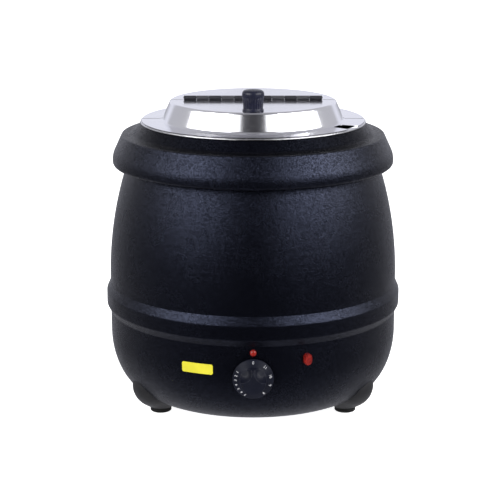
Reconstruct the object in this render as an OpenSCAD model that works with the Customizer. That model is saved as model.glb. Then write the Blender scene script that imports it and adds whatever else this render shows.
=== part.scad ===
// Electric soup kettle with a water bath, a lift-out pot and a hinged two-part lid.
// Millimetres, +Z up, the table is z = 0 and the front of the kettle faces -Y.

/* [Housing] */
// Outer diameter of the raised belt, the widest part
belt_d = 340; // [330:2:350]
// How far the belt stands out from the side
belt_step = 4.4; // [3:0.2:6]
// Height of the top edge of the barrel-shaped side
barrel_top = 284; // [276:1:292]
// Height at which the side is widest
barrel_waist = 146; // [140:1:152]
// Radius of the curve of the barrel's side
barrel_curve = 415; // [380:5:480]
// Thickness of the housing's steel sheet
sheet = 1.2; // [0.9:0.1:1.5]
// Height of the bowl's floor above the table
floor_z = 12.3; // [12:0.1:14]
// Height at which the bowl starts to curve in
bowl_bend_z = 83.4; // [80:0.2:88]
// How far in the bowl's curve runs before the flat floor
bowl_bend_in = 45.5; // [42:0.5:50]

/* [Collar] */
// Largest radius of the collar
collar_r = 160.4; // [158:0.2:163]
// Height of the collar's lower edge
collar_low = 276.8; // [275:0.2:280]
// Height of the seat that carries the pot
seat_z = 325.4; // [322:0.2:328]

/* [Pot and water pan] */
// Inner radius of the soup pot
pot_r = 119; // [116:0.5:120]
// Depth of the soup pot inside
pot_depth = 230; // [215:1:245]
// Height of the water pan's inner floor
pan_floor = 61; // [60:0.5:66]

/* [Lid] */
// Radius of the lid's rim
lid_r = 126.7; // [125:0.1:128]
// Height of the lid's flat top above the table
lid_top = 349.2; // [345:0.2:352]
// Direction of the ladle notch, in degrees to the right of the front
notch_turn = 61; // [50:1:66]
// Width of the ladle notch at its inner end
notch_w = 20; // [16:1:24]
// Number of knuckles on the hinge
knuckles = 11; // [7:2:13]
// Length of the hinge
hinge_len = 157; // [140:1:165]
// Outer radius of the hinge knuckles
knuckle_r = 2.2; // [2:0.1:3]
// Distance of the lid knob from the hinge
knob_out = 79; // [70:1:81]
// Height of the lid knob
knob_h = 23.4; // [20:0.2:26]

/* [Controls] */
// Height of the dial's centre
dial_z = 72.5; // [70:0.5:75]
// Radius of the dial's skirt
dial_r = 22.2; // [20:0.2:23]
// Height of the front lamp
front_lamp_z = 100.8; // [100:0.1:102]
// Direction of the side lamp, in degrees to the right of the front
side_lamp_turn = 20.6; // [20:0.2:26]
// Height of the side lamp
side_lamp_z = 90.9; // [88:0.1:93]
// Direction of the badge, in degrees to the left of the front
badge_turn = 21.5; // [20:0.5:28]

/* [Feet] */
// Direction of the two front feet, in degrees from the front
foot_turn = 58.5; // [56:0.5:64]
// Distance of the feet from the middle
foot_out = 124; // [118:0.5:125]
// Radius of the rubber foot pads
pad_r = 12; // [10:0.5:13]
// Thickness of the rubber foot pads
pad_h = 5.5; // [4:0.5:7]

/* [Hidden] */

$fn = 96;
eps = 0.5;            // overshoot of a cutter past the face it cuts
far = 40;             // length of a cutter that goes right through a wall
play = 0.3;           // gap between pieces that come apart
fit = 0.05;           // radial running fit of a shaft in its hole
belt_r = belt_d / 2;
side_r = belt_r - belt_step;
seam_z = 124;
flange_in = 129;      // inner radius of the barrel's top flange
dial_back = side_r + 2;
dial_deep = 17;
dial_front = dial_back + dial_deep;
pan_r = 126.2;
pan_sheet = 0.8;
pot_sheet = 0.8;
lid_sheet = 0.8;
foot_turns = [-foot_turn, foot_turn, 180];
pin_r = 1;
pin_z = lid_top + knuckle_r + play;

// ---- outlines in the r-z plane ----

function unit(v) = v / norm(v);
function left_of(a, b) = let (d = unit(b - a)) [-d[1], d[0]];
function wrap(a) = a > 180 ? a - 360 : a < -180 ? a + 360 : a;

// Arc that rounds the corner p between a and b
function corner(a, p, b, r, n = 6) =
    let (u = unit(a - p), v = unit(b - p), half = acos(u * v) / 2,
         c = p + unit(u + v) * r / sin(half),
         s = p + u * r / tan(half) - c, e = p + v * r / tan(half) - c,
         start = atan2(s[1], s[0]), turn = wrap(atan2(e[1], e[0]) - start))
    [for (i = [0:n]) c + r * [cos(start + turn * i / n), sin(start + turn * i / n)]];

function xy(p) = [p[0], p[1]];

// Path through the points [r, z] or [r, z, corner radius]
function path(pts) = [for (i = [0:len(pts) - 1])
    each len(pts[i]) == 3 ? corner(xy(pts[i - 1]), xy(pts[i]), xy(pts[i + 1]), pts[i][2])
                          : [pts[i]]];

// The same path moved sideways by t, to its left
function beside(p, t) = [for (i = [0:len(p) - 1])
    let (n0 = left_of(p[max(i - 1, 0)], p[max(i, 1)]),
         n1 = left_of(p[min(i, len(p) - 2)], p[min(i + 1, len(p) - 1)]), m = unit(n0 + n1))
    p[i] + m * t / (m * n0)];

function reverse(p) = [for (i = [len(p) - 1:-1:0]) p[i]];

// A sheet of thickness t, on the left of the path p, spun around the Z axis
module spun_sheet(p, t) {
    rotate_extrude() polygon(concat(p, reverse(beside(p, t))));
}

// A solid that fills the path p down to the Z axis
module spun_solid(p) {
    rotate_extrude() polygon(concat([[0, p[0][1]]], p, [[0, p[len(p) - 1][1]]]));
}

function barrel_r_at(z) = side_r - barrel_curve + sqrt(pow(barrel_curve, 2) - pow(z - barrel_waist, 2));

// Bowl outline from its floor up to the seam
bend_steps = 24;
bowl_path = concat(
    [for (i = [bend_steps:-1:0]) let (a = 90 * i / bend_steps)
        [side_r - bowl_bend_in * (1 - cos(a)), bowl_bend_z - (bowl_bend_z - floor_z) * sin(a)]],
    [[side_r, seam_z - play]]);

// Barrel outline from the seam up to its top flange
barrel_steps = 18;
barrel_path = concat(
    [for (i = [0:barrel_steps]) let (z = seam_z + (barrel_top - seam_z) * i / barrel_steps)
        [barrel_r_at(z), z]],
    [[flange_in, barrel_top]]);

// ---- helpers ----

// Put a piece drawn along +Z at the origin on the side, pointing outwards
module on_side(turn, r, z) {
    rotate([0, 0, turn]) translate([0, -r, z]) rotate([90, 0, 0]) children();
}

module at_feet(turn) {
    rotate([0, 0, turn]) translate([0, -foot_out, 0]) children();
}

module nut(flats_r, h, bore) {
    difference() {
        cylinder(r = flats_r, h = h, $fn = 6);
        translate([0, 0, -eps]) cylinder(r = bore, h = h + 2 * eps, $fn = 32);
    }
}

// Pan-head screw, head at the bottom, shank upwards
module screw(head_r, head_h, shank_r, len) {
    difference() {
        union() {
            cylinder(r1 = head_r * 0.8, r2 = head_r, h = head_h, $fn = 32);
            translate([0, 0, head_h]) cylinder(r = shank_r, h = len, $fn = 32);
        }
        for (a = [0, 90])
            rotate([0, 0, a]) translate([-head_r * 0.55, -0.4, -eps]) cube([head_r * 1.1, 0.8, eps + 0.9]);
    }
}

// ---- housing ----

shaft_hole_r = 5.6;
screw_hole_r = 2.2;
base_hole_r = 1.6;
base_open_r = 95;
base_plate_r = 103;
base_screw_out = 99;
base_screws = 4;
foot_shank_r = 2;
gland_z = 94;
gland_r = 6.5;
lamp_r = 3.6;
side_lamp_r = 4.4;
side_lamp_tall = 12.8;   // height of the side lamp, whose ends are round
hole_gap = 0.1;          // how much wider a hole is than what sits in it

// Upright outline with round ends
module oblong(r) {
    for (s = [-1, 1]) translate([0, s * (side_lamp_tall / 2 - side_lamp_r)]) circle(r = r);
    square([2 * r, side_lamp_tall - 2 * side_lamp_r], center = true);
}

module bowl() {
    color("#17171b") difference() {
        union() {
            spun_sheet(bowl_path, sheet);
            translate([0, 0, floor_z]) cylinder(r = side_r - bowl_bend_in + 0.01, h = sheet);
        }
        translate([0, 0, floor_z - eps]) cylinder(r = base_open_r, h = sheet + 2 * eps);
        for (t = foot_turns)
            at_feet(t) translate([0, 0, floor_z - eps])
                cylinder(r = foot_shank_r + 0.2, h = sheet + nut_lift + 2 * eps);
        for (i = [0:base_screws - 1])
            rotate([0, 0, 45 + 90 * i]) translate([base_screw_out, 0, floor_z - eps])
                cylinder(r = base_hole_r, h = sheet + 2 * eps, $fn = 32);
        on_side(0, side_r - far / 2, dial_z) cylinder(r = shaft_hole_r, h = far);
        for (x = [-1, 1])
            translate([x * bracket_screw_x, 0, 0]) on_side(0, side_r - far / 2, dial_z)
                cylinder(r = screw_hole_r, h = far, $fn = 32);
        on_side(0, side_r - far / 2, front_lamp_z) cylinder(r = lamp_r + hole_gap, h = far);
        on_side(side_lamp_turn, side_r - far / 2, side_lamp_z)
            linear_extrude(far) oblong(side_lamp_r + hole_gap);
        on_side(180, side_r - far / 2, gland_z) cylinder(r = gland_r + hole_gap, h = far);
    }
}

vent_rings = [46, 62];
vents = 12;
vent_w = 3;
vent_l = 10;
plate_t = 1;
earth_out = 78;          // distance of the earth stud behind the middle
earth_r = 2;

module base_plate() {
    color("#8d9095") difference() {
        translate([0, 0, floor_z - plate_t]) cylinder(r = base_plate_r, h = plate_t);
        for (i = [0:base_screws - 1])
            rotate([0, 0, 45 + 90 * i]) translate([base_screw_out, 0, floor_z - plate_t - eps])
                cylinder(r = base_hole_r, h = plate_t + 2 * eps, $fn = 32);
        for (r = vent_rings, i = [0:vents - 1])
            rotate([0, 0, 360 * i / vents]) translate([r, 0, floor_z - plate_t - eps])
                linear_extrude(plate_t + 2 * eps) union() {
                    square([vent_w, vent_l], center = true);
                    for (s = [-1, 1]) translate([0, s * vent_l / 2]) circle(r = vent_w / 2, $fn = 24);
                }
        translate([0, earth_out, floor_z - plate_t - eps])
            cylinder(r = earth_r + hole_gap, h = plate_t + 2 * eps, $fn = 32);
    }
}

base_head_h = 1.6;

module base_plate_screws() {
    color("#b9bbc0") for (i = [0:base_screws - 1])
        rotate([0, 0, 45 + 90 * i]) translate([base_screw_out, 0, floor_z - plate_t - base_head_h])
            screw(3, base_head_h, 1.5, 7);
}

leg_ball_r = 26;
leg_ball_out = 7;
leg_ball_z = 32;
leg_toe_r = 13.5;

module leg() {
    difference() {
        hull() {
            translate([0, -leg_ball_out, leg_ball_z]) sphere(r = leg_ball_r, $fn = 48);
            translate([0, 0, pad_h]) cylinder(r = leg_toe_r, h = 1, $fn = 48);
        }
        translate([0, 0, pad_h - eps]) cylinder(r = foot_shank_r + fit, h = 20);
        translate([-leg_ball_r, -2 * leg_ball_r, -eps]) cube([2 * leg_ball_r, 3 * leg_ball_r, pad_h + eps]);
    }
}

module leg_at(turn) {
    color("#141417") difference() {
        at_feet(turn) leg();
        spun_solid(bowl_path);
    }
}

module left_leg() {
    leg_at(foot_turns[0]);
}

module right_leg() {
    leg_at(foot_turns[1]);
}

module rear_leg() {
    leg_at(foot_turns[2]);
}

foot_head_h = 2.2;
foot_head_z = 1.4;
foot_head_r = 3.6;
pad_edge = 0.8;          // bevel around the pad's underside
nut_lift = 1.1;          // the nut's outer corner rests on the bowl's curve

module foot_pad_at(turn) {
    color("#0b0b0c") at_feet(turn) difference() {
        rotate_extrude()
            polygon([[0, 0], [pad_r - pad_edge, 0], [pad_r, pad_edge], [pad_r, pad_h], [0, pad_h]]);
        translate([0, 0, -eps]) cylinder(r = foot_head_r + 0.4, h = foot_head_z + foot_head_h + eps);
        cylinder(r = foot_shank_r + fit, h = pad_h + eps);
    }
}

module left_foot_pad() {
    foot_pad_at(foot_turns[0]);
}

module right_foot_pad() {
    foot_pad_at(foot_turns[1]);
}

module rear_foot_pad() {
    foot_pad_at(foot_turns[2]);
}

module foot_screws() {
    color("#b9bbc0") for (t = foot_turns)
        at_feet(t) translate([0, 0, foot_head_z]) screw(foot_head_r, foot_head_h, foot_shank_r, 15.5);
}

module foot_nuts() {
    color("#b9bbc0") for (t = foot_turns)
        at_feet(t) translate([0, 0, floor_z + sheet + nut_lift]) nut(4, 3.2, foot_shank_r + fit);
}

belt_z = [107.4, 115.6, 131, 140.8];   // heights of the belt's four edges
belt_path = path([[side_r, belt_z[0]], [belt_r, belt_z[1], 4], [belt_r, belt_z[2], 5], [side_r, belt_z[3]]]);

module belt_band() {
    color("#1b1b1f") difference() {
        spun_sheet(belt_path, sheet);
        translate([0, 0, belt_z[0] - 5]) cylinder(r = side_r, h = belt_z[3] - belt_z[0] + 10);
    }
}

module barrel_shell() {
    color("#17171b") spun_sheet(barrel_path, sheet);
}

// ---- water pan and heating ----

pan_flange_z = barrel_top + pan_sheet;
pan_flange_r = 140;
pan_path = path([[pan_flange_r, pan_flange_z], [pan_r, pan_flange_z, 3], [pan_r, pan_floor, 14], [0, pan_floor]]);
stud_r = 3;
stud_len = 16;

module water_pan() {
    color("#a9abae") {
        spun_sheet(pan_path, pan_sheet);
        translate([0, 0, pan_floor - pan_sheet - stud_len]) cylinder(r = stud_r, h = stud_len);
    }
}

element_r = 70;
rod_r = 3.6;
element_z = pan_floor - pan_sheet - rod_r;
element_gap = 28;

module heating_element() {
    color("#6f6a63") {
        translate([0, 0, element_z]) rotate([0, 0, 90 + element_gap / 2])
            rotate_extrude(angle = 360 - element_gap) translate([element_r, 0]) circle(r = rod_r, $fn = 32);
        for (s = [-1, 1])
            rotate([0, 0, 90 + s * element_gap / 2]) translate([element_r, 0, element_z]) element_end();
    }
}

end_drop = 16;
end_blade = 10;
blade_w = 6.3;
blade_t = 0.8;

module element_end() {
    sphere(r = rod_r + fit, $fn = 32);
    translate([0, 0, -end_drop]) cylinder(r = rod_r, h = end_drop, $fn = 32);
    translate([-blade_t / 2, -blade_w / 2, -end_drop - end_blade]) cube([blade_t, blade_w, end_blade + eps]);
}

clamp_t = 1.5;
clamp_w = 18;
clamp_hub_r = 20;
clamp_nut_h = 4;
clamp_z = element_z - rod_r - clamp_t;

module element_clamp() {
    color("#9c9ea2") difference() {
        union() {
            translate([0, 0, clamp_z]) cylinder(r = clamp_hub_r, h = clamp_t);
            for (a = [-90, 30, 150])
                rotate([0, 0, a]) translate([0, -clamp_w / 2, clamp_z])
                    cube([element_r + 8, clamp_w, clamp_t]);
        }
        translate([0, 0, clamp_z - eps]) cylinder(r = stud_r + 0.3, h = clamp_t + 2 * eps);
    }
}

module clamp_nut() {
    color("#b9bbc0") translate([0, 0, clamp_z - clamp_nut_h]) nut(6, clamp_nut_h, stud_r + fit);
}

// ---- thermostat and dial ----

bracket_screw_x = 14;
thermo_w = 38;
thermo_h = 32;
thermo_front = side_r - 8;
thermo_deep = 28;
shaft_r = 3;
shaft_in = 14;

module thermostat() {
    color("#d8d4c8") difference() {
        union() {
            on_side(0, thermo_front - thermo_deep, dial_z)
                translate([-thermo_w / 2, -thermo_h / 2, 0]) cube([thermo_w, thermo_h, thermo_deep]);
            on_side(0, thermo_front - eps, dial_z) cylinder(r = 5, h = 8.6 + eps);
            for (x = [-10, 0, 10])
                on_side(0, thermo_front - 20, dial_z)
                    translate([x - 3, -thermo_h / 2 - 8, 0]) cube([6, 8.5, 0.8]);
        }
        on_side(0, thermo_front - shaft_in, dial_z) cylinder(r = shaft_r + fit, h = 40);
        for (x = [-1, 1])
            translate([x * bracket_screw_x, 0, 0]) on_side(0, thermo_front - 6, dial_z)
                cylinder(r = 2.02, h = 20, $fn = 32);
    }
}

bracket_t = 1.2;
spacer_h = 4.7;

module thermostat_bracket() {
    color("#9c9ea2") difference() {
        union() {
            on_side(0, thermo_front, dial_z) translate([-24, -13, 0]) cube([48, 26, bracket_t]);
            for (x = [-1, 1])
                translate([x * bracket_screw_x, 0, 0]) on_side(0, thermo_front, dial_z)
                    cylinder(r = 4, h = spacer_h, $fn = 32);
        }
        on_side(0, thermo_front - eps, dial_z) cylinder(r = 5.3, h = 10);
        for (x = [-1, 1])
            translate([x * bracket_screw_x, 0, 0]) on_side(0, thermo_front - eps, dial_z)
                cylinder(r = 2.1, h = 10, $fn = 32);
    }
}

module thermostat_screws() {
    color("#b9bbc0") for (x = [-1, 1])
        translate([x * bracket_screw_x, 0, 0]) on_side(0, thermo_front - 5, dial_z)
            mirror([0, 0, 1]) translate([0, 0, -13.6]) screw(3.4, 1.4, 1.95, 12);
}

bulb_turn = -60;
bulb_r = 3;
bulb_z = 76;
bulb_len = 80;
bulb_out = pan_r + pan_sheet + bulb_r + 0.1;
tube_r = 0.9;
elbow_r = 1.1;
tube_out = 134;
tube_z = 66;
tube_start = asin(thermo_w / 2 / tube_out);

module capillary_tube() {
    color("#b08d57") {
        translate([0, 0, tube_z]) rotate([0, 0, -90 + bulb_turn])
            rotate_extrude(angle = -bulb_turn - tube_start) translate([tube_out, 0]) circle(r = tube_r, $fn = 24);
        rotate([0, 0, bulb_turn]) translate([0, -tube_out, tube_z]) {
            sphere(r = elbow_r, $fn = 24);
            rotate([-90, 0, 0]) cylinder(r = tube_r, h = tube_out - bulb_out, $fn = 24);
            translate([0, tube_out - bulb_out, 0]) {
                sphere(r = elbow_r, $fn = 24);
                cylinder(r = tube_r, h = bulb_z - tube_z, $fn = 24);
            }
        }
    }
}

module sensing_bulb() {
    color("#b08d57") rotate([0, 0, bulb_turn]) translate([0, -bulb_out, bulb_z])
        cylinder(r = bulb_r, h = bulb_len, $fn = 32);
}

module bulb_clip() {
    color("#9c9ea2") rotate([0, 0, bulb_turn]) translate([0, -bulb_out, bulb_z + bulb_len / 2 - 8])
        difference() {
            union() {
                cylinder(r = bulb_r + 0.9, h = 16, $fn = 48);
                translate([-9, bulb_r - 1.1, 0]) cube([18, 1, 16]);
            }
            translate([0, 0, -eps]) cylinder(r = bulb_r + fit, h = 20, $fn = 48);
            translate([-12, bulb_r - 0.1, -eps]) cube([24, 6, 20]);
        }
}

module d_profile(r) {
    difference() {
        circle(r = r, $fn = 48);
        translate([-r, r - 1.2]) square([2 * r, r]);
    }
}

grip_in = 11;            // how far the shaft reaches into the dial
shaft_flat_in = 3;       // how far in from the dial's back the shaft's flat starts

module thermostat_shaft() {
    color("#c9c9cc") {
        on_side(0, thermo_front - shaft_in + play, dial_z)
            cylinder(r = shaft_r, h = dial_back + shaft_flat_in - thermo_front + shaft_in - play);
        on_side(0, dial_back + shaft_flat_in, dial_z) linear_extrude(grip_in - shaft_flat_in) d_profile(shaft_r);
    }
}

grip_r = 14.6;
scoop_r = 12;
scoop_x = 15.4;
scoop_y = 10.5;
skirt_edge = 2.2;
skirt_top = 5.6;
relief_r = [6, 19.5];    // the hollow in the dial's back
relief_deep = 2.2;

module dial_knob() {
    color("#15151c") on_side(0, dial_back, dial_z) difference() {
        spun_solid(path([[dial_r - 0.6, 0], [dial_r, 0.6], [dial_r, skirt_edge, 0.8],
                         [grip_r + 0.9, skirt_top, 0.8],
                         [grip_r - 0.6, dial_deep, 1.6], [0, dial_deep]]));
        for (s = [-1, 1])
            translate([s * scoop_x, scoop_y, dial_deep + 1]) sphere(r = scoop_r);
        translate([0, 0, -eps]) cylinder(r = shaft_r + fit, h = shaft_flat_in + eps);
        translate([0, 0, shaft_flat_in - 0.01])
            linear_extrude(grip_in - shaft_flat_in + play) d_profile(shaft_r + fit);
        translate([0, 0, -eps]) difference() {
            cylinder(r = relief_r[1], h = relief_deep + eps);
            translate([0, 0, -eps]) cylinder(r = relief_r[0], h = relief_deep + 3 * eps);
        }
    }
}

// ---- lamps, badge, terminals and cord entry ----

lens_in = 2;             // how far a lens reaches into its hole

module lamp_lens(r, reach, dome) {
    rotate_extrude() polygon(concat(
        [[0, -lens_in], [r, -lens_in]],
        corner([r, -lens_in], [r, reach], [0, reach], dome, 8),
        [[0, reach]]));
}

holder_len = 24;
tag = [0.8, 2.4, 7.5];   // one of the two contacts behind a lamp
tag_gap = 1.6;
holder_nut_h = 3;
holder_nut_z = -6.5;

module lamp_holder(r) {
    translate([0, 0, -lens_in - holder_len]) cylinder(r = r - 0.4, h = holder_len);
    for (x = [-tag_gap, tag_gap])
        translate([x - tag[0] / 2, -tag[1] / 2, eps - lens_in - holder_len - tag[2]]) cube(tag);
    translate([0, 0, holder_nut_z]) difference() {
        cylinder(r = r + 2.4, h = holder_nut_h, $fn = 6);
        translate([0, 0, -eps]) cylinder(r = r - 1, h = holder_nut_h + 2 * eps);
    }
}

module front_lamp_lens() {
    color("#b3161b") on_side(0, side_r, front_lamp_z) lamp_lens(lamp_r, 4, 3);
}

side_lamp_reach = 5;
side_lamp_bevel = 1;

module front_lamp_holder() {
    color("#e4e0d6") on_side(0, side_r, front_lamp_z) lamp_holder(lamp_r);
}

module side_lamp_lens() {
    color("#b3161b") on_side(side_lamp_turn, side_r, side_lamp_z) {
        translate([0, 0, -lens_in])
            linear_extrude(lens_in + side_lamp_reach - side_lamp_bevel) oblong(side_lamp_r);
        translate([0, 0, -lens_in])
            linear_extrude(lens_in + side_lamp_reach) oblong(side_lamp_r - side_lamp_bevel);
    }
}

module side_lamp_holder() {
    color("#e4e0d6") on_side(side_lamp_turn, side_r, side_lamp_z) lamp_holder(side_lamp_r);
}

badge_w = 36;
badge_h = 11.5;
badge_corner = 2;
badge_t = 0.7;
badge_z = 79.8;

module badge() {
    color("#e3c800") intersection() {
        spun_sheet(bowl_path, -badge_t);
        on_side(-badge_turn, side_r - 10, badge_z) linear_extrude(20) union() {
            square([badge_w - 2 * badge_corner, badge_h], center = true);
            square([badge_w, badge_h - 2 * badge_corner], center = true);
            for (x = [-1, 1], y = [-1, 1])
                translate([x * (badge_w / 2 - badge_corner), y * (badge_h / 2 - badge_corner)])
                    circle(r = badge_corner, $fn = 32);
        }
    }
}

block_l = 44;
block_w = 18;
block_h = 15;
block_y = 52;
ways = 4;
way_pitch = 10;
way_r = 2.2;
way_floor = 5;

module terminal_block() {
    color("#e9e6dc") translate([0, block_y, floor_z]) difference() {
        translate([-block_l / 2, -block_w / 2, 0]) cube([block_l, block_w, block_h]);
        for (i = [0:ways - 1], y = [-4.5, 4.5])
            translate([(i - (ways - 1) / 2) * way_pitch, y, way_floor]) cylinder(r = way_r, h = block_h, $fn = 32);
    }
}

module earth_stud() {
    color("#c9a227") translate([0, earth_out, 0]) {
        translate([0, 0, floor_z - plate_t - base_head_h]) cylinder(r = 4, h = base_head_h, $fn = 32);
        translate([0, 0, floor_z - plate_t - 0.01]) cylinder(r = earth_r, h = 13, $fn = 32);
        translate([0, 0, floor_z]) cylinder(r = 4.2, h = 3.2, $fn = 6);
    }
}

cord_bore = 4.1;
gland_hex = 10;
gland_inside = 12;

module cord_gland() {
    color("#101012") on_side(180, side_r, gland_z) difference() {
        union() {
            translate([0, 0, -gland_inside]) cylinder(r = gland_r, h = gland_inside + 1);
            translate([0, 0, 0.2]) cylinder(r = gland_hex, h = 5, $fn = 6);
            translate([0, 0, 5]) cylinder(r1 = 8.6, r2 = 6.6, h = dial_front - side_r - 5);
        }
        translate([0, 0, -gland_inside - eps]) cylinder(r = cord_bore, h = 60);
    }
}

module gland_nut() {
    color("#101012") on_side(180, side_r - sheet - 4, gland_z) nut(10, 3.5, gland_r + fit);
}

// ---- collar ----

hem_r = 152.4;              // inside of the hem turned up along the lower edge
hem_h = 4.2;
bend_z = 288.5;             // where the side curves in
crease = [149.6, 311.8];    // outer edge of the ring around the lid
step_foot = [137.2, 313]; // foot of the step up to the seat
seat_r = [127.2, 121.5];    // outside and inside of the seat
seat_drop = 11.6;           // how far the collar turns down inside the seat
collar_path = path([[hem_r, collar_low + hem_h], [hem_r, collar_low, 3.5], [collar_r, collar_low, 4],
                    [collar_r, bend_z, 25], concat(crease, 2.5), concat(step_foot, 5), [seat_r[0], seat_z, 3],
                    [seat_r[1], seat_z, 2], [seat_r[1], seat_z - seat_drop]]);

module collar() {
    color("#17171b") spun_sheet(collar_path, sheet);
}

ring_r = 123.5;
ring_low = 272;
ring_foot_r = 136;
ring_foot_z = pan_flange_z + play;

module collar_seat_ring() {
    color("#8d9095") difference() {
        union() {
            translate([0, 0, ring_low]) cylinder(r = ring_r + sheet, h = seat_z - sheet - ring_low);
            translate([0, 0, ring_foot_z]) cylinder(r = ring_foot_r, h = sheet);
        }
        translate([0, 0, ring_low - eps]) cylinder(r = ring_r, h = seat_z - ring_low);
    }
}

// ---- pot ----

pot_rim_z = seat_z + play + pot_sheet;
pot_floor = pot_rim_z - pot_depth;
pot_rim_r = 128.4;
pot_rim_turn = 1.4;      // how far the rim's edge is turned down
pot_path = path([[pot_rim_r, pot_rim_z - pot_rim_turn], [pot_rim_r, pot_rim_z, 1], [pot_r, pot_rim_z, 3.5],
                 [pot_r, pot_floor, 22], [0, pot_floor]]);

module soup_pot() {
    color("#c3c5c9") spun_sheet(pot_path, pot_sheet);
}

// ---- lid ----

rim_z = pot_rim_z + play + lid_sheet;
lid_cone_r = [103.2, 94.2];   // radius at the foot and the top of the lid's cone
lid_dish = 0.2;          // rise of the lid's flat rim up to the foot of the cone
half_gap = 1;            // from the hinge line to the cut edge of each half
lid_under = lid_top - lid_sheet;
lid_path = path([[lid_r, rim_z], [lid_cone_r[0], rim_z + lid_dish, 3], [lid_cone_r[1], lid_top, 3.5],
                 [0, lid_top]]);

module lid_half(side) {
    span = lid_r + 10;
    intersection() {
        spun_sheet(lid_path, lid_sheet);
        translate([-span, side > 0 ? half_gap : -span - half_gap, rim_z - 10]) cube([2 * span, span, 50]);
    }
}

leaf_w = 16;
leaf_t = 0.8;
pitch = hinge_len / knuckles;
tab_half = 0.45;
tab_top = pin_z - pin_r - 0.5;

// One leaf of the hinge: side is +1 for the rear and -1 for the front, first is its first knuckle
module hinge_leaf(side, first) {
    mirror([0, side > 0 ? 0 : 1, 0]) difference() {
        union() {
            translate([-hinge_len / 2, half_gap - 0.2, lid_under - leaf_t]) cube([hinge_len, leaf_w, leaf_t]);
            for (i = [first:2:knuckles - 1])
                translate([-hinge_len / 2 + i * pitch + play / 2, 0, 0]) {
                    translate([0, 0, pin_z]) rotate([0, 90, 0])
                        cylinder(r = knuckle_r, h = pitch - play, $fn = 48);
                    translate([0, -tab_half, lid_under - leaf_t])
                        cube([pitch - play, 2 * tab_half, tab_top - lid_under + leaf_t]);
                    translate([0, -tab_half, lid_under - leaf_t]) cube([pitch - play, half_gap + eps, leaf_t]);
                }
        }
        translate([-hinge_len / 2 - eps, 0, pin_z]) rotate([0, 90, 0])
            cylinder(r = pin_r + fit, h = hinge_len + 2 * eps, $fn = 48);
    }
}

module rear_lid() {
    color("#d0d1d6") lid_half(1);
}

module rear_hinge_leaf() {
    color("#5c5e60") hinge_leaf(1, 0);
}

module hinge_pin() {
    color("#8a8c90") translate([-hinge_len / 2 - 0.6, 0, pin_z]) rotate([0, 90, 0])
        cylinder(r = pin_r, h = hinge_len + 1.2, $fn = 48);
}

knob_shank_r = 2;
notch_in = 106;          // distance of the notch's inner end from the middle
notch_flare = 1.25;      // how much wider the notch is past the rim
notch_corner = 4;        // radius of its inner corners

module notch() {
    rotate([0, 0, notch_turn]) translate([0, 0, rim_z - 5]) linear_extrude(12) union() {
        translate([0, -notch_in - notch_corner])
            square([notch_w - 2 * notch_corner, 2 * notch_corner], center = true);
        for (s = [-1, 1])
            translate([s * (notch_w / 2 - notch_corner), -notch_in - notch_corner]) circle(r = notch_corner);
        polygon([[-notch_w / 2, -notch_in - notch_corner], [notch_w / 2, -notch_in - notch_corner],
                 [notch_w / 2 * notch_flare, -lid_r - 5], [-notch_w / 2 * notch_flare, -lid_r - 5]]);
    }
}

module front_lid() {
    color("#d0d1d6") difference() {
        lid_half(-1);
        notch();
        translate([0, -knob_out, lid_under - 5]) cylinder(r = knob_shank_r + 0.2, h = 10);
    }
}

module front_hinge_leaf() {
    color("#6a6c6e") hinge_leaf(-1, 1);
}

flutes = 16;
flute_r = 1.5;
flute_h = 8;
knob_top_r = 12.3;
knob_waist_r = 10.6;
knob_foot_h = 1.6;
knob_bore_h = 12;

module lid_knob() {
    color("#15161f") translate([0, -knob_out, lid_top]) difference() {
        spun_solid(path([[knob_waist_r + 0.6, 0], [knob_waist_r, knob_foot_h], [knob_waist_r, 6],
                         [knob_top_r, knob_h * 0.62, 4], [knob_top_r - 0.6, knob_h - 2.4, 3],
                         [knob_top_r * 0.6, knob_h - 0.5, 5], [0, knob_h]]));
        for (i = [0:flutes - 1])
            rotate([0, 0, 360 * i / flutes]) translate([knob_waist_r + 1.1, 0, knob_foot_h + 0.8])
                cylinder(r = flute_r, h = flute_h, $fn = 24);
        translate([0, 0, -eps]) cylinder(r = knob_shank_r + fit, h = knob_bore_h + eps);
    }
}

washer_h = 0.8;
knob_head_h = 2;

module knob_screw() {
    color("#b9bbc0") translate([0, -knob_out, lid_under - washer_h - knob_head_h])
        screw(3.8, knob_head_h, knob_shank_r, 11);
}

module knob_washer() {
    color("#9c9ea2") translate([0, -knob_out, lid_under - washer_h]) difference() {
        cylinder(r = 5.5, h = washer_h);
        translate([0, 0, -eps]) cylinder(r = knob_shank_r + 0.2, h = washer_h + 2 * eps);
    }
}

bowl();
base_plate();
base_plate_screws();
left_leg();
right_leg();
rear_leg();
left_foot_pad();
right_foot_pad();
rear_foot_pad();
foot_screws();
foot_nuts();
belt_band();
barrel_shell();
water_pan();
heating_element();
element_clamp();
clamp_nut();
thermostat();
thermostat_bracket();
thermostat_screws();
capillary_tube();
sensing_bulb();
bulb_clip();
thermostat_shaft();
dial_knob();
front_lamp_lens();
front_lamp_holder();
side_lamp_lens();
side_lamp_holder();
terminal_block();
earth_stud();
cord_gland();
gland_nut();
badge();
collar();
collar_seat_ring();
soup_pot();
rear_lid();
rear_hinge_leaf();
hinge_pin();
front_lid();
front_hinge_leaf();
lid_knob();
knob_screw();
knob_washer();
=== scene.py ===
"""Looks of the soup kettle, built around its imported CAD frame. Metres, +Z up, the front faces -Y."""
from math import atan2, cos, pi, radians, sin, sqrt

import bpy
from mathutils import Matrix, Vector


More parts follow.
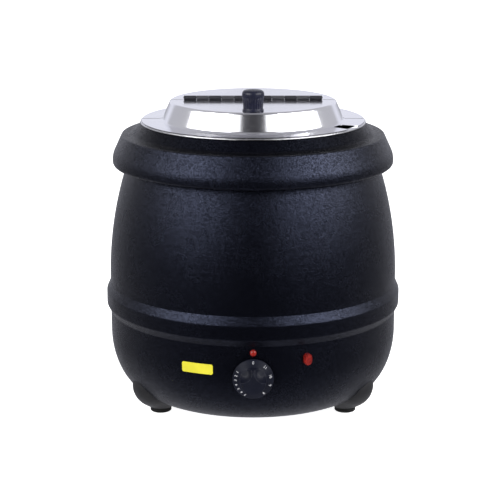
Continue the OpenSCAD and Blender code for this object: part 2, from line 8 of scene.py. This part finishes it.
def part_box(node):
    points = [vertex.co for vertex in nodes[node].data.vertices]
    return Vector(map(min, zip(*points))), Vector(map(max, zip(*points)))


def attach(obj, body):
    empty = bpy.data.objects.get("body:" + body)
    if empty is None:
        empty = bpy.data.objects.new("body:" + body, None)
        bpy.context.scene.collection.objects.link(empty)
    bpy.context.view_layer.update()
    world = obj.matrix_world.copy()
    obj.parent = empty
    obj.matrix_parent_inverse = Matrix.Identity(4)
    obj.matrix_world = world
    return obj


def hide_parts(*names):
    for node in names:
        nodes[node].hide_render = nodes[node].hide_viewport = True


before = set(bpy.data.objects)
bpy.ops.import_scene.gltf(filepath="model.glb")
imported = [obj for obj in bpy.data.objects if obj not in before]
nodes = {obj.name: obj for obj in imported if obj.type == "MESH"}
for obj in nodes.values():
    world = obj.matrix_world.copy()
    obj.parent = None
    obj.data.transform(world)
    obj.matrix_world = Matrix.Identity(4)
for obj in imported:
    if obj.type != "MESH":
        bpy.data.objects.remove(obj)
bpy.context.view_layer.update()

scene = bpy.context.scene
MM = 0.001
WHITE = (1, 1, 1, 1)


# ---- node trees ----

class Graph:
    """A node tree, built by name."""

    def __init__(self, tree):
        self.tree = tree

    def add(self, kind, **values):
        """New node; each value goes to the input of that name, or else to the node's own property."""
        node = self.tree.nodes.new(kind)
        for key, value in values.items():
            if key in node.inputs:
                node.inputs[key].default_value = value
            else:
                setattr(node, key, value)
        return node

    def link(self, out, into):
        self.tree.links.new(out, into)

    def calculate(self, kind, operation, *terms):
        """New maths node whose inputs are, in order, outputs to link or fixed values."""
        node = self.add(kind, operation=operation)
        for k, term in enumerate(terms):
            if isinstance(term, bpy.types.NodeSocket):
                self.link(term, node.inputs[k])
            else:
                node.inputs[k].default_value = term
        return node

    def math(self, operation, *terms):
        return self.calculate("ShaderNodeMath", operation, *terms).outputs["Value"]

    def vector_math(self, operation, *terms):
        return self.calculate("ShaderNodeVectorMath", operation, *terms).outputs["Vector"]

    def length(self, vector):
        return self.calculate("ShaderNodeVectorMath", "LENGTH", vector).outputs["Value"]

    def ramp(self, value, low, high, start=0.3, end=0.7):
        """Output that goes from low to high while value goes from start to end."""
        node = self.add("ShaderNodeMapRange")
        for key, number in (("From Min", start), ("From Max", end), ("To Min", low), ("To Max", high)):
            node.inputs[key].default_value = number
        self.link(value, node.inputs["Value"])
        return node.outputs["Result"]


class Shader(Graph):
    """A material around one Principled BSDF, in object coordinates."""

    def __init__(self, name):
        material = bpy.data.materials.new(name)
        material.use_nodes = True
        super().__init__(material.node_tree)
        self.material = material
        self.bsdf = self.tree.nodes["Principled BSDF"]
        self.place = self.add("ShaderNodeTexCoord").outputs["Object"]

    def drive(self, name, out):
        self.link(out, self.bsdf.inputs[name])

    def finish(self, **values):
        """Sets fixed inputs of the BSDF and gives the material."""
        for key, value in values.items():
            self.bsdf.inputs[key.replace("_", " ")].default_value = value
        return self.material

    def noise(self, scale, detail=2.0, roughness=0.5, stretch=(1, 1, 1)):
        mapping = self.add("ShaderNodeMapping")
        mapping.inputs["Scale"].default_value = stretch
        self.link(self.place, mapping.inputs["Vector"])
        node = self.add("ShaderNodeTexNoise", Scale=scale, Detail=detail, Roughness=roughness)
        self.link(mapping.outputs["Vector"], node.inputs["Vector"])
        return node.outputs["Fac"]

    def tint(self, fac, dark, light):
        node = self.add("ShaderNodeMix", data_type="RGBA")
        node.inputs["A"].default_value = (*dark, 1)
        node.inputs["B"].default_value = (*light, 1)
        self.link(fac, node.inputs["Factor"])
        self.drive("Base Color", node.outputs["Result"])

    def mottle(self, scale, detail, dark, light):
        self.tint(self.ramp(self.noise(scale, detail), 0, 1), dark, light)

    def bump(self, height, strength, distance):
        node = self.add("ShaderNodeBump", Strength=strength, Distance=distance)
        self.link(height, node.inputs["Height"])
        self.drive("Normal", node.outputs["Normal"])


# ---- materials ----

COAT_LOW, COAT_HIGH = (0.0009, 0.001, 0.0018), (0.002, 0.0021, 0.0036)
COAT_TINT = (0.56, 0.64, 1.0, 1)   # the coat shines bluish
COAT_GRAIN = 1150                  # cells per metre
COAT_WARP = 0.00025                # how far noise pulls the cells out of round
FINE_SHARE = 0.35                  # height of the fine noise beside that of the cells
GLINT = (0.14, 0.5)                # shine of the dullest and the brightest cells
GROOVE_R = 0.1492                  # radius of the collar's groove round the lid
GROOVE_PAINTED_SHADE_SHINE = 0.3                 # painted shade: shine in the groove round the lid beside that of the rest
GROOVE_EDGE = (-0.0015, 0.0005)    # where the shine changes, from GROOVE_R


def powder_coat(name, depth, rough, groove=False):
    """Black textured powder coat: fine leather-like grain with glints, and, with groove, painted shade: less
    shine in the groove round the lid.
    """
    s = Shader(name)
    warp = s.add("ShaderNodeTexNoise", Scale=COAT_GRAIN * 0.5, Detail=1.0)
    s.link(s.place, warp.inputs["Vector"])
    warped = s.vector_math("MULTIPLY_ADD", warp.outputs["Color"], [COAT_WARP] * 3, s.place)
    cells = s.add("ShaderNodeTexVoronoi", Scale=COAT_GRAIN, feature="SMOOTH_F1", Smoothness=0.6)
    s.link(warped, cells.inputs["Vector"])
    fine = s.noise(COAT_GRAIN * 2.2)
    s.bump(s.math("MULTIPLY_ADD", fine, FINE_SHARE, cells.outputs["Distance"]), 0.8, depth)
    s.tint(s.ramp(cells.outputs["Distance"], 0, 1, 0.1, 0.8), COAT_HIGH, COAT_LOW)
    s.drive("Roughness", s.ramp(s.noise(35, 3.0), *rough))
    cell = s.add("ShaderNodeSeparateColor")
    s.link(cells.outputs["Color"], cell.inputs["Color"])
    shine = s.ramp(cell.outputs["Red"], *GLINT, 0.25, 0.75)
    # painted shade: the shine is cut down inside the groove round the lid, where the lid shades it
    if groove:
        radius = s.length(s.vector_math("MULTIPLY", s.place, (1, 1, 0)))
        start, end = (GROOVE_R + edge for edge in GROOVE_EDGE)
        shine = s.math("MULTIPLY", shine, s.ramp(radius, GROOVE_PAINTED_SHADE_SHINE, 1.0, start, end))
    s.drive("Specular IOR Level", shine)
    return s.finish(Specular_Tint=COAT_TINT)


def moulded(name, dark, light, rough=(0.4, 0.5), grain=1800, depth=0.00001, specular=0.5):
    """Moulded plastic or rubber: faint mottling and a fine grain."""
    s = Shader(name)
    s.mottle(60, 4.0, dark, light)
    s.drive("Roughness", s.ramp(s.noise(140, 3.0), *rough))
    s.bump(s.noise(grain), 0.4, depth)
    return s.finish(Specular_IOR_Level=specular)


def metal(name, dark, light, rough, stretch=(1, 1, 1), scale=300, depth=0.00001, spots=40):
    """Bare metal: brushed or pressed grain along one direction, with uneven shine."""
    s = Shader(name)
    s.mottle(spots, 3.0, dark, light)
    grain = s.noise(scale, 3.0, 0.6, stretch)
    s.drive("Roughness", s.ramp(grain, *rough))
    s.bump(grain, 0.25, depth)
    return s.finish(Metallic=1.0)


def lamp_red(name, dark, light):
    """Red lens over a lamp that is off: some light goes through it, and a very faint painted glow is added.
    """
    s = Shader(name)
    s.mottle(400, 2.0, dark, light)
    s.bump(s.noise(900, 1.0), 0.15, 0.00005)
    # painted glow: the lens gives off faint red light though its lamp is off
    painted_glow = (0.9, 0.03, 0.01, 1)
    return s.finish(Roughness=0.16, Transmission_Weight=0.2, Emission_Color=painted_glow, Emission_Strength=0.02)


coat = powder_coat("black_powder_coat", 0.00026, (0.22, 0.3))
# the collar's coat carries painted shade in its groove round the lid
collar_coat_painted_shade = powder_coat("collar_powder_coat_painted_shade", 0.00026, (0.22, 0.3), groove=True)
belt_coat = powder_coat("belt_powder_coat", 0.00022, (0.22, 0.29))

leg_plastic = moulded("leg_plastic", (0.009, 0.009, 0.011), (0.013, 0.013, 0.015), (0.38, 0.5), 1400, 0.00006)
rubber = moulded("foot_rubber", (0.008, 0.008, 0.008), (0.013, 0.013, 0.013), (0.65, 0.8), 900, 0.00008, 0.3)
dial_plastic = moulded("dial_plastic", (0.005, 0.006, 0.012), (0.007, 0.008, 0.016),
                       (0.36, 0.44), specular=0.14)
knob_plastic = moulded("knob_plastic", (0.008, 0.009, 0.02), (0.012, 0.013, 0.028),
                       (0.24, 0.32), specular=0.3)
cream_plastic = moulded("cream_plastic", (0.62, 0.6, 0.53), (0.7, 0.68, 0.6), grain=1200, depth=0.00003)
gland_nylon = moulded("gland_nylon", (0.007, 0.007, 0.008), (0.012, 0.012, 0.013),
                      (0.42, 0.55), 1300, 0.00003)
badge_yellow = moulded("badge_yellow", (0.52, 0.47, 0.008), (0.6, 0.54, 0.014), (0.3, 0.4), 1500, 0.00003)
white_print = moulded("white_print", (0.4, 0.4, 0.42), (0.5, 0.5, 0.52), grain=900, depth=0.00003)

mirror = metal("polished_steel", (0.86, 0.86, 0.9), (0.9, 0.9, 0.935), (0.11, 0.17),
               scale=160, depth=0.000002, spots=25)
satin_steel = metal("satin_steel", (0.64, 0.64, 0.66), (0.7, 0.7, 0.72),
                    (0.2, 0.28), (1, 1, 14), 220, 0.000004)
pan_steel = metal("pan_steel", (0.5, 0.5, 0.51), (0.6, 0.6, 0.61), (0.25, 0.4), (1, 1, 8), 200)
plate_steel = metal("galvanised_plate", (0.42, 0.43, 0.45), (0.6, 0.61, 0.63),
                    (0.35, 0.5), scale=90, spots=120)
zinc = metal("zinc_plating", (0.6, 0.6, 0.58), (0.72, 0.72, 0.7), (0.22, 0.35), scale=500)
rear_hinge_steel = metal("rear_hinge_steel", (0.1, 0.1, 0.115), (0.14, 0.14, 0.155),
                         (0.3, 0.4), (8, 1, 1), 200)
front_hinge_steel = metal("front_hinge_steel", (0.2, 0.2, 0.22), (0.26, 0.26, 0.28),
                          (0.28, 0.38), (8, 1, 1), 200)
sheath = metal("element_sheath", (0.16, 0.14, 0.12), (0.26, 0.22, 0.18), (0.4, 0.55))
copper = metal("copper", (0.66, 0.36, 0.22), (0.78, 0.45, 0.28), (0.25, 0.4))
brass = metal("brass", (0.65, 0.46, 0.16), (0.76, 0.55, 0.22), (0.25, 0.38))

red = lamp_red("red_lens", (0.17, 0.007, 0.005), (0.32, 0.02, 0.014))
side_red = lamp_red("side_red_lens", (0.09, 0.004, 0.004), (0.26, 0.016, 0.012))

finishes = {
    coat: ["bowl", "barrel_shell"],
    collar_coat_painted_shade: ["collar"],
    belt_coat: ["belt_band"],
    leg_plastic: ["left_leg", "right_leg", "rear_leg"],
    rubber: ["left_foot_pad", "right_foot_pad", "rear_foot_pad"],
    mirror: ["rear_lid", "front_lid"],
    satin_steel: ["soup_pot", "hinge_pin", "collar_seat_ring", "thermostat_shaft", "knob_washer"],
    pan_steel: ["water_pan"],
    plate_steel: ["base_plate", "element_clamp", "thermostat_bracket", "bulb_clip"],
    zinc: ["base_plate_screws", "foot_screws", "foot_nuts", "clamp_nut", "thermostat_screws", "knob_screw"],
    rear_hinge_steel: ["rear_hinge_leaf"],
    front_hinge_steel: ["front_hinge_leaf"],
    sheath: ["heating_element"],
    copper: ["capillary_tube", "sensing_bulb"],
    brass: ["earth_stud"],
    dial_plastic: ["dial_knob"],
    knob_plastic: ["lid_knob"],
    cream_plastic: ["thermostat", "front_lamp_holder", "side_lamp_holder", "terminal_block"],
    gland_nylon: ["cord_gland", "gland_nut"],
    badge_yellow: ["badge"],
    red: ["front_lamp_lens"],
    side_red: ["side_lamp_lens"],
}
for material, names in finishes.items():
    for name in names:
        nodes[name].data.materials.clear()
        nodes[name].data.materials.append(material)


# ---- mesh helpers ----

def new_piece(name, verts, faces, material, body, replaced):
    """A smooth mesh that rides on a CAD body and stands for the CAD node replaced."""
    mesh = bpy.data.meshes.new(name)
    mesh.from_pydata(verts, [], faces)
    mesh.validate()
    for polygon in mesh.polygons:
        polygon.use_smooth = True
    mesh.materials.append(material)
    piece = bpy.data.objects.new(name, mesh)
    scene.collection.objects.link(piece)
    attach(piece, body)
    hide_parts(replaced)


def round_row(r, count):
    """Points (x, y) evenly round a circle."""
    angles = [2 * pi * j / count for j in range(count)]
    return [(r * cos(a), r * sin(a)) for a in angles]


def closed_faces(rings, count):
    """Faces of a closed surface: pole 0, rings of count points each from index 1 on, then the last pole."""
    faces = []
    for i in range(rings - 1):
        low = 1 + i * count
        high = low + count
        faces += [(low + j, low + (j + 1) % count, high + (j + 1) % count, high + j) for j in range(count)]
    last = 1 + rings * count
    faces += [(0, 1 + (j + 1) % count, 1 + j) for j in range(count)]
    faces += [(last, last - count + j, last - count + (j + 1) % count) for j in range(count)]
    return faces


def soft_max(a, b, k):
    """The larger of a and b, blended where they are less than k apart."""
    h = max(k - abs(a - b), 0) / k
    return max(a, b) + h * h * k / 4


def soft_min(a, b, k):
    return -soft_max(-a, -b, k)


def step(x, low, high):
    """Smooth step from 0 at low to 1 at high."""
    t = min(max((x - low) / (high - low), 0), 1)
    return t * t * (3 - 2 * t)


def arc_profile(points, steps=8):
    """Profile [(r, z)] through points (r, z) or (r, z, corner radius), whose corners are rounded."""
    out = []
    for i, point in enumerate(points):
        if len(point) < 3:
            out.append(point)
            continue
        radius = point[2]
        here = Vector(point[:2])
        back = (Vector(points[i - 1][:2]) - here).normalized()
        ahead = (Vector(points[i + 1][:2]) - here).normalized()
        half = back.angle(ahead) / 2
        reach = radius / sin(half) * cos(half)
        centre = here + (back + ahead).normalized() * radius / sin(half)
        start = here + back * reach - centre
        end = here + ahead * reach - centre
        a0 = atan2(start.y, start.x)
        turn = (atan2(end.y, end.x) - a0 + pi) % (2 * pi) - pi
        angles = [a0 + turn * k / steps for k in range(steps + 1)]
        out += [(centre.x + radius * cos(a), centre.y + radius * sin(a)) for a in angles]
    return out


def divided(points, longest):
    """The same profile with no stretch much longer than longest."""
    out = []
    for (r0, z0), (r1, z1) in zip(points, points[1:]):
        parts = max(1, round(max(abs(z1 - z0), abs(r1 - r0)) / longest))
        out += [(r0 + (r1 - r0) * k / parts, z0 + (z1 - z0) * k / parts) for k in range(parts)]
    return out + [points[-1]]


# ---- dial, in millimetres from the middle of its back: x right, y up, z outwards ----

dial_low, dial_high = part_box("dial_knob")
dial_z = (dial_low.z + dial_high.z) / 2
dial_back = -dial_high.y / MM
DIAL_R = (dial_high.x - dial_low.x) / 2 / MM
DIAL_DEEP = -dial_low.y / MM - dial_back
facing_front = Matrix.Rotation(radians(90), 4, "X")
dial_place = (Matrix.Translation((0, 0, dial_z)) @ facing_front @ Matrix.Scale(MM, 4)
              @ Matrix.Translation((0, 0, dial_back)))
DIAL_RINGS = 72
DIAL_POINTS = 192
DIAL_EDGE = 0.5                     # chamfer of the skirt's edges
EDGE_DROP = 0.15                    # how far the front's last ring lies under the front
BACK_RING = 3                       # width of the back's outer ring of faces
GRIP_R = 14.4
GRIP_TOP_R = GRIP_R - 1.0           # where the grip's side leaves its top
GRIP_WALL = 9                       # steepness of the grip's side
GRIP_DOME, GRIP_DOME_R = 0.9, 9.0   # fall of the grip's top towards its edge, and where it starts
RING_IN, RING_IN_H = 16.0, 5.6      # the skirt's cone: where it meets the grip, and its height there
RING_OUT_H = 2.4                    # its height at the edge
SCOOP_X, SCOOP_Y, SCOOP_R = 13.6, 13.2, 13.6
SCOOP_LIFT = 1.6                    # height of the scoops' balls over the grip's top
RIB_HALF = 2.4
RIB_SLOPE = 0.42
RIB_FOOT_Y = 4.0                    # where the rib's slope starts
RIB_WALL = 5                        # steepness of the rib's sides
GRIP_BLEND = 2.6                    # how far the grip's side and top blend
RIB_BLEND = 1.2                     # the same for the rib and the scoops
SCOOP_BLEND = 1.0                   # for these and the grip
SKIRT_BLEND = 0.9                   # for the grip and the skirt


def ring_height(r):
    return RING_IN_H + (RING_OUT_H - RING_IN_H) * (r - RING_IN) / (DIAL_R - RING_IN)


def dial_height(x, y):
    """Height of the dial's front over its back face."""
    r = sqrt(x * x + y * y)
    wall = DIAL_DEEP - (r - GRIP_TOP_R) * GRIP_WALL
    top = DIAL_DEEP - GRIP_DOME * step(r, GRIP_DOME_R, GRIP_R)
    d = sqrt((abs(x) - SCOOP_X) ** 2 + (y - SCOOP_Y) ** 2)
    scoop = DIAL_DEEP + SCOOP_LIFT - sqrt(max(SCOOP_R ** 2 - d * d, 0))
    rib = DIAL_DEEP - RIB_SLOPE * (y - RIB_FOOT_Y) - max(abs(x) - RIB_HALF, 0) * RIB_WALL
    plain = soft_min(wall, top, GRIP_BLEND)
    grip = soft_min(plain, soft_max(scoop, rib, RIB_BLEND), SCOOP_BLEND)
    return soft_max(grip, ring_height(r), SKIRT_BLEND)


def make_dial():
    """Dial with two finger scoops and a rib between them."""
    radii = [DIAL_R * k / DIAL_RINGS for k in range(1, DIAL_RINGS)]
    verts = [(0, 0, dial_height(0, 0))]
    for r in radii:
        verts += [(x, y, dial_height(x, y)) for x, y in round_row(r, DIAL_POINTS)]
    last_row = round_row(DIAL_R - DIAL_EDGE * 0.3, DIAL_POINTS)
    verts += [(x, y, dial_height(x, y) - EDGE_DROP) for x, y in last_row]
    side = [(DIAL_R, ring_height(DIAL_R) - DIAL_EDGE), (DIAL_R, DIAL_EDGE), (DIAL_R - DIAL_EDGE, 0),
            (DIAL_R - BACK_RING, 0)]
    for r, z in side:
        verts += [(x, y, z) for x, y in round_row(r, DIAL_POINTS)]
    verts.append((0, 0, 0))
    verts = [tuple(dial_place @ Vector(v)) for v in verts]
    rings = len(radii) + 1 + len(side)
    faces = [tuple(reversed(face)) for face in closed_faces(rings, DIAL_POINTS)]
    new_piece("dial_face", verts, faces, dial_plastic, "dial", "dial_knob")


NUMERAL_R = 18.9
NUMERAL_SIZE = 4.4
NUMERAL_DEEP = 0.05
NUMERAL_GAP = 0.02
NUMERAL_TURNS = [0, 297, 283, 268, 252, 237, 222, 207, 143, 109, 78, 43]   # degrees clockwise from the top
ring_tilt = atan2(RING_IN_H - RING_OUT_H, DIAL_R - RING_IN)


def make_numeral(value, turn):
    """White figure that lies on the skirt's cone, turn degrees clockwise from the top."""
    text = bpy.data.curves.new(f"numeral_{value}", "FONT")
    text.body = str(value)
    text.size = NUMERAL_SIZE * MM
    text.align_x = "CENTER"
    text.align_y = "CENTER"
    text.extrude = NUMERAL_DEEP * MM
    text.materials.append(white_print)
    piece = bpy.data.objects.new(f"numeral_{value}", text)
    scene.collection.objects.link(piece)
    seat = Matrix.Translation((0, NUMERAL_R, ring_height(NUMERAL_R) + NUMERAL_GAP))
    lie = Matrix.Rotation(-ring_tilt, 4, "X") @ Matrix.Scale(1 / MM, 4)
    piece.matrix_world = dial_place @ Matrix.Rotation(radians(-turn), 4, "Z") @ seat @ lie
    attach(piece, "dial")


make_dial()
for value, turn in enumerate(NUMERAL_TURNS):
    make_numeral(value, turn)

# ---- lid knob, in millimetres over the middle of its foot ----

knob_low, knob_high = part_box("lid_knob")
KNOB_H = (knob_high.z - knob_low.z) / MM
KNOB_R = (knob_high.x - knob_low.x) / 2 / MM
KNOB_POINTS = 216
KNOB_STEP = 0.7           # longest stretch of the outline
FLUTES = 24
FLUTE_DEEP = 0.4
FLUTE_START = (1.8, 4.0)   # heights between which the flutes begin, and end
FLUTE_END = (KNOB_H * 0.52, KNOB_H * 0.68)
FLUTE_LEAST_R = 2          # nearer to the axis there are none
KNOB_OUTLINE = [(1.5, 0), (KNOB_R - 0.5, 0, 0.4), (KNOB_R - 0.6, 1.2, 0.6), (KNOB_R - 1.5, 2.6, 1.5),
                (KNOB_R - 1.1, 9.0, 10), (KNOB_R, KNOB_H * 0.68, 10), (KNOB_R - 0.4, KNOB_H - 1.2, 4.2),
                (5.0, KNOB_H - 0.2, 14), (0.6, KNOB_H)]


def flute_depth(r, z, a):
    """How deep the flutes are cut at angle a, where the plain knob has radius r at height z."""
    if r <= FLUTE_LEAST_R:
        return 0
    reach = step(z, *FLUTE_START) * (1 - step(z, *FLUTE_END))
    return FLUTE_DEEP * reach * (0.5 + 0.5 * cos(FLUTES * a)) ** 2


def make_knob():
    """Lid knob with fine flutes round its waist."""
    profile = divided(arc_profile(KNOB_OUTLINE), KNOB_STEP)
    verts = [(0, 0, profile[0][1])]
    for r, z in profile:
        for j in range(KNOB_POINTS):
            a = 2 * pi * j / KNOB_POINTS
            cut_r = r - flute_depth(r, z, a)
            verts.append((cut_r * cos(a), cut_r * sin(a), z))
    verts.append((0, 0, profile[-1][1]))
    foot = Vector(((knob_low.x + knob_high.x) / 2, (knob_low.y + knob_high.y) / 2, knob_low.z))
    verts = [tuple(foot + Vector(v) * MM) for v in verts]
    faces = closed_faces(len(profile), KNOB_POINTS)
    new_piece("knob_grip", verts, faces, knob_plastic, "lid_flap", "lid_knob")


make_knob()

# ---- floor ----

FLOOR_R = 30.0
FLOOR_POINTS = 64
FLOOR_Z = -0.0004
FLOOR_GLOW = 0.95          # near the kettle; far off it is 1
FLOOR_FADE = (0.5, 1.6)    # distances between which the glow rises


def pale_floor():
    """Plain pale floor that turns whiter with its distance, up to the horizon."""
    s = Shader("pale_floor")
    s.mottle(2, 1.0, (0.89, 0.89, 0.89), (0.9, 0.9, 0.9))
    s.drive("Emission Strength", s.ramp(s.length(s.place), FLOOR_GLOW, 1.0, *FLOOR_FADE))
    return s.finish(Roughness=0.9, Emission_Color=WHITE, Specular_IOR_Level=0.0)


floor_mesh = bpy.data.meshes.new("floor")
floor_mesh.from_pydata([(x, y, FLOOR_Z) for x, y in round_row(FLOOR_R, FLOOR_POINTS)], [],
                       [tuple(range(FLOOR_POINTS))])
floor_mesh.materials.append(pale_floor())
floor = bpy.data.objects.new("floor", floor_mesh)
floor.visible_glossy = False
scene.collection.objects.link(floor)

# ---- lights ----

LIGHT_AWAY = 1.8
LIGHT_LOW, LIGHT_HIGH = 0.62, 2.15


def softbox(name, turn, width, power):
    """Upright area light, turn degrees to the right of the front."""
    lamp = bpy.data.lights.new(name, "AREA")
    lamp.shape = "RECTANGLE"
    lamp.size = width
    lamp.size_y = LIGHT_HIGH - LIGHT_LOW
    lamp.energy = power
    lamp_object = bpy.data.objects.new(name, lamp)
    t = radians(turn)
    lamp_object.location = (LIGHT_AWAY * sin(t), -LIGHT_AWAY * cos(t), (LIGHT_LOW + LIGHT_HIGH) / 2)
    lamp_object.rotation_euler = (radians(90), 0, t)
    scene.collection.objects.link(lamp_object)


softbox("right_softbox", 58, 3.05, 21)
softbox("right_core", 61, 1.9, 35)
softbox("left_softbox", -56, 2.9, 19)
softbox("left_core", -52, 1.5, 26)

# ---- studio around the kettle: dark in front, pale behind, and plain white to the camera ----

FRONT_COLOUR = (0.008, 0.006, 0.005)
BACK_COLOUR = (0.8, 0.81, 0.9)
BETWEEN = [(0.1, (0.04, 0.04, 0.045)), (0.3, (0.24, 0.24, 0.26)), (0.68, (0.38, 0.38, 0.4)),
           (0.76, (0.5, 0.5, 0.53)), (0.97, (0.5, 0.5, 0.54))]   # places from the front, 0, to the back, 1
SIDE_SHARE = 0.35          # how far the sides count as the back
GROUND_SHARE = 0.5         # brightness just below the horizon, beside that above it
FLOOR_SHARE = 1.5          # the same right under the kettle
HORIZON = (-0.05, 0.05)    # upward parts of the direction between which the brightness changes
UNDER = (-0.9, -0.35)      # the same between the floor right under the kettle and the rest


def studio_colour(graph, x, y):
    """World colour in the direction whose sideways and backward parts are x and y."""
    ramp = graph.add("ShaderNodeValToRGB")
    stops = ramp.color_ramp.elements   # a new ramp has one at 0 and one at 1
    stops[0].color = (*FRONT_COLOUR, 1)
    stops[-1].color = (*BACK_COLOUR, 1)
    for position, colour in BETWEEN:
        stops.new(position).color = (*colour, 1)
    back = graph.math("ADD", y, graph.math("MULTIPLY", graph.math("ABSOLUTE", x), SIDE_SHARE))
    graph.link(graph.ramp(back, 0, 1, -1, 1), ramp.inputs["Fac"])
    return ramp.outputs["Color"]


def make_world():
    world = bpy.data.worlds.new("studio")
    scene.world = world
    world.use_nodes = True
    graph = Graph(world.node_tree)
    background = graph.tree.nodes["Background"]
    to_camera = graph.add("ShaderNodeLightPath").outputs["Is Camera Ray"]
    way = graph.add("ShaderNodeSeparateXYZ")
    graph.link(graph.add("ShaderNodeTexCoord").outputs["Generated"], way.inputs["Vector"])
    level = graph.ramp(way.outputs["Z"], GROUND_SHARE, 1, *HORIZON)
    under = graph.ramp(way.outputs["Z"], FLOOR_SHARE - GROUND_SHARE, 0, *UNDER)
    strength = graph.math("MAXIMUM", graph.math("ADD", level, under), to_camera)
    graph.link(strength, background.inputs["Strength"])
    seen = graph.add("ShaderNodeMix", data_type="RGBA")
    seen.inputs["B"].default_value = WHITE
    graph.link(to_camera, seen.inputs["Factor"])
    graph.link(studio_colour(graph, way.outputs["X"], way.outputs["Y"]), seen.inputs["A"])
    graph.link(seen.outputs["Result"], background.inputs["Color"])


make_world()

# ---- camera ----

CAMERA_BACK = 1.7835
CAMERA_UP = 0.6229
CAMERA_LEFT = 0.0034
CAMERA_DIP = 14.16     # degrees below level
camera = bpy.data.cameras.new("camera")
camera.lens = 113.77
camera.sensor_width = 36.0
camera_object = bpy.data.objects.new("camera", camera)
camera_object.location = (-CAMERA_LEFT, -CAMERA_BACK, CAMERA_UP)
camera_object.rotation_euler = (radians(90 - CAMERA_DIP), 0, 0)
scene.collection.objects.link(camera_object)
scene.camera = camera_object
scene.view_settings.view_transform = "Standard"
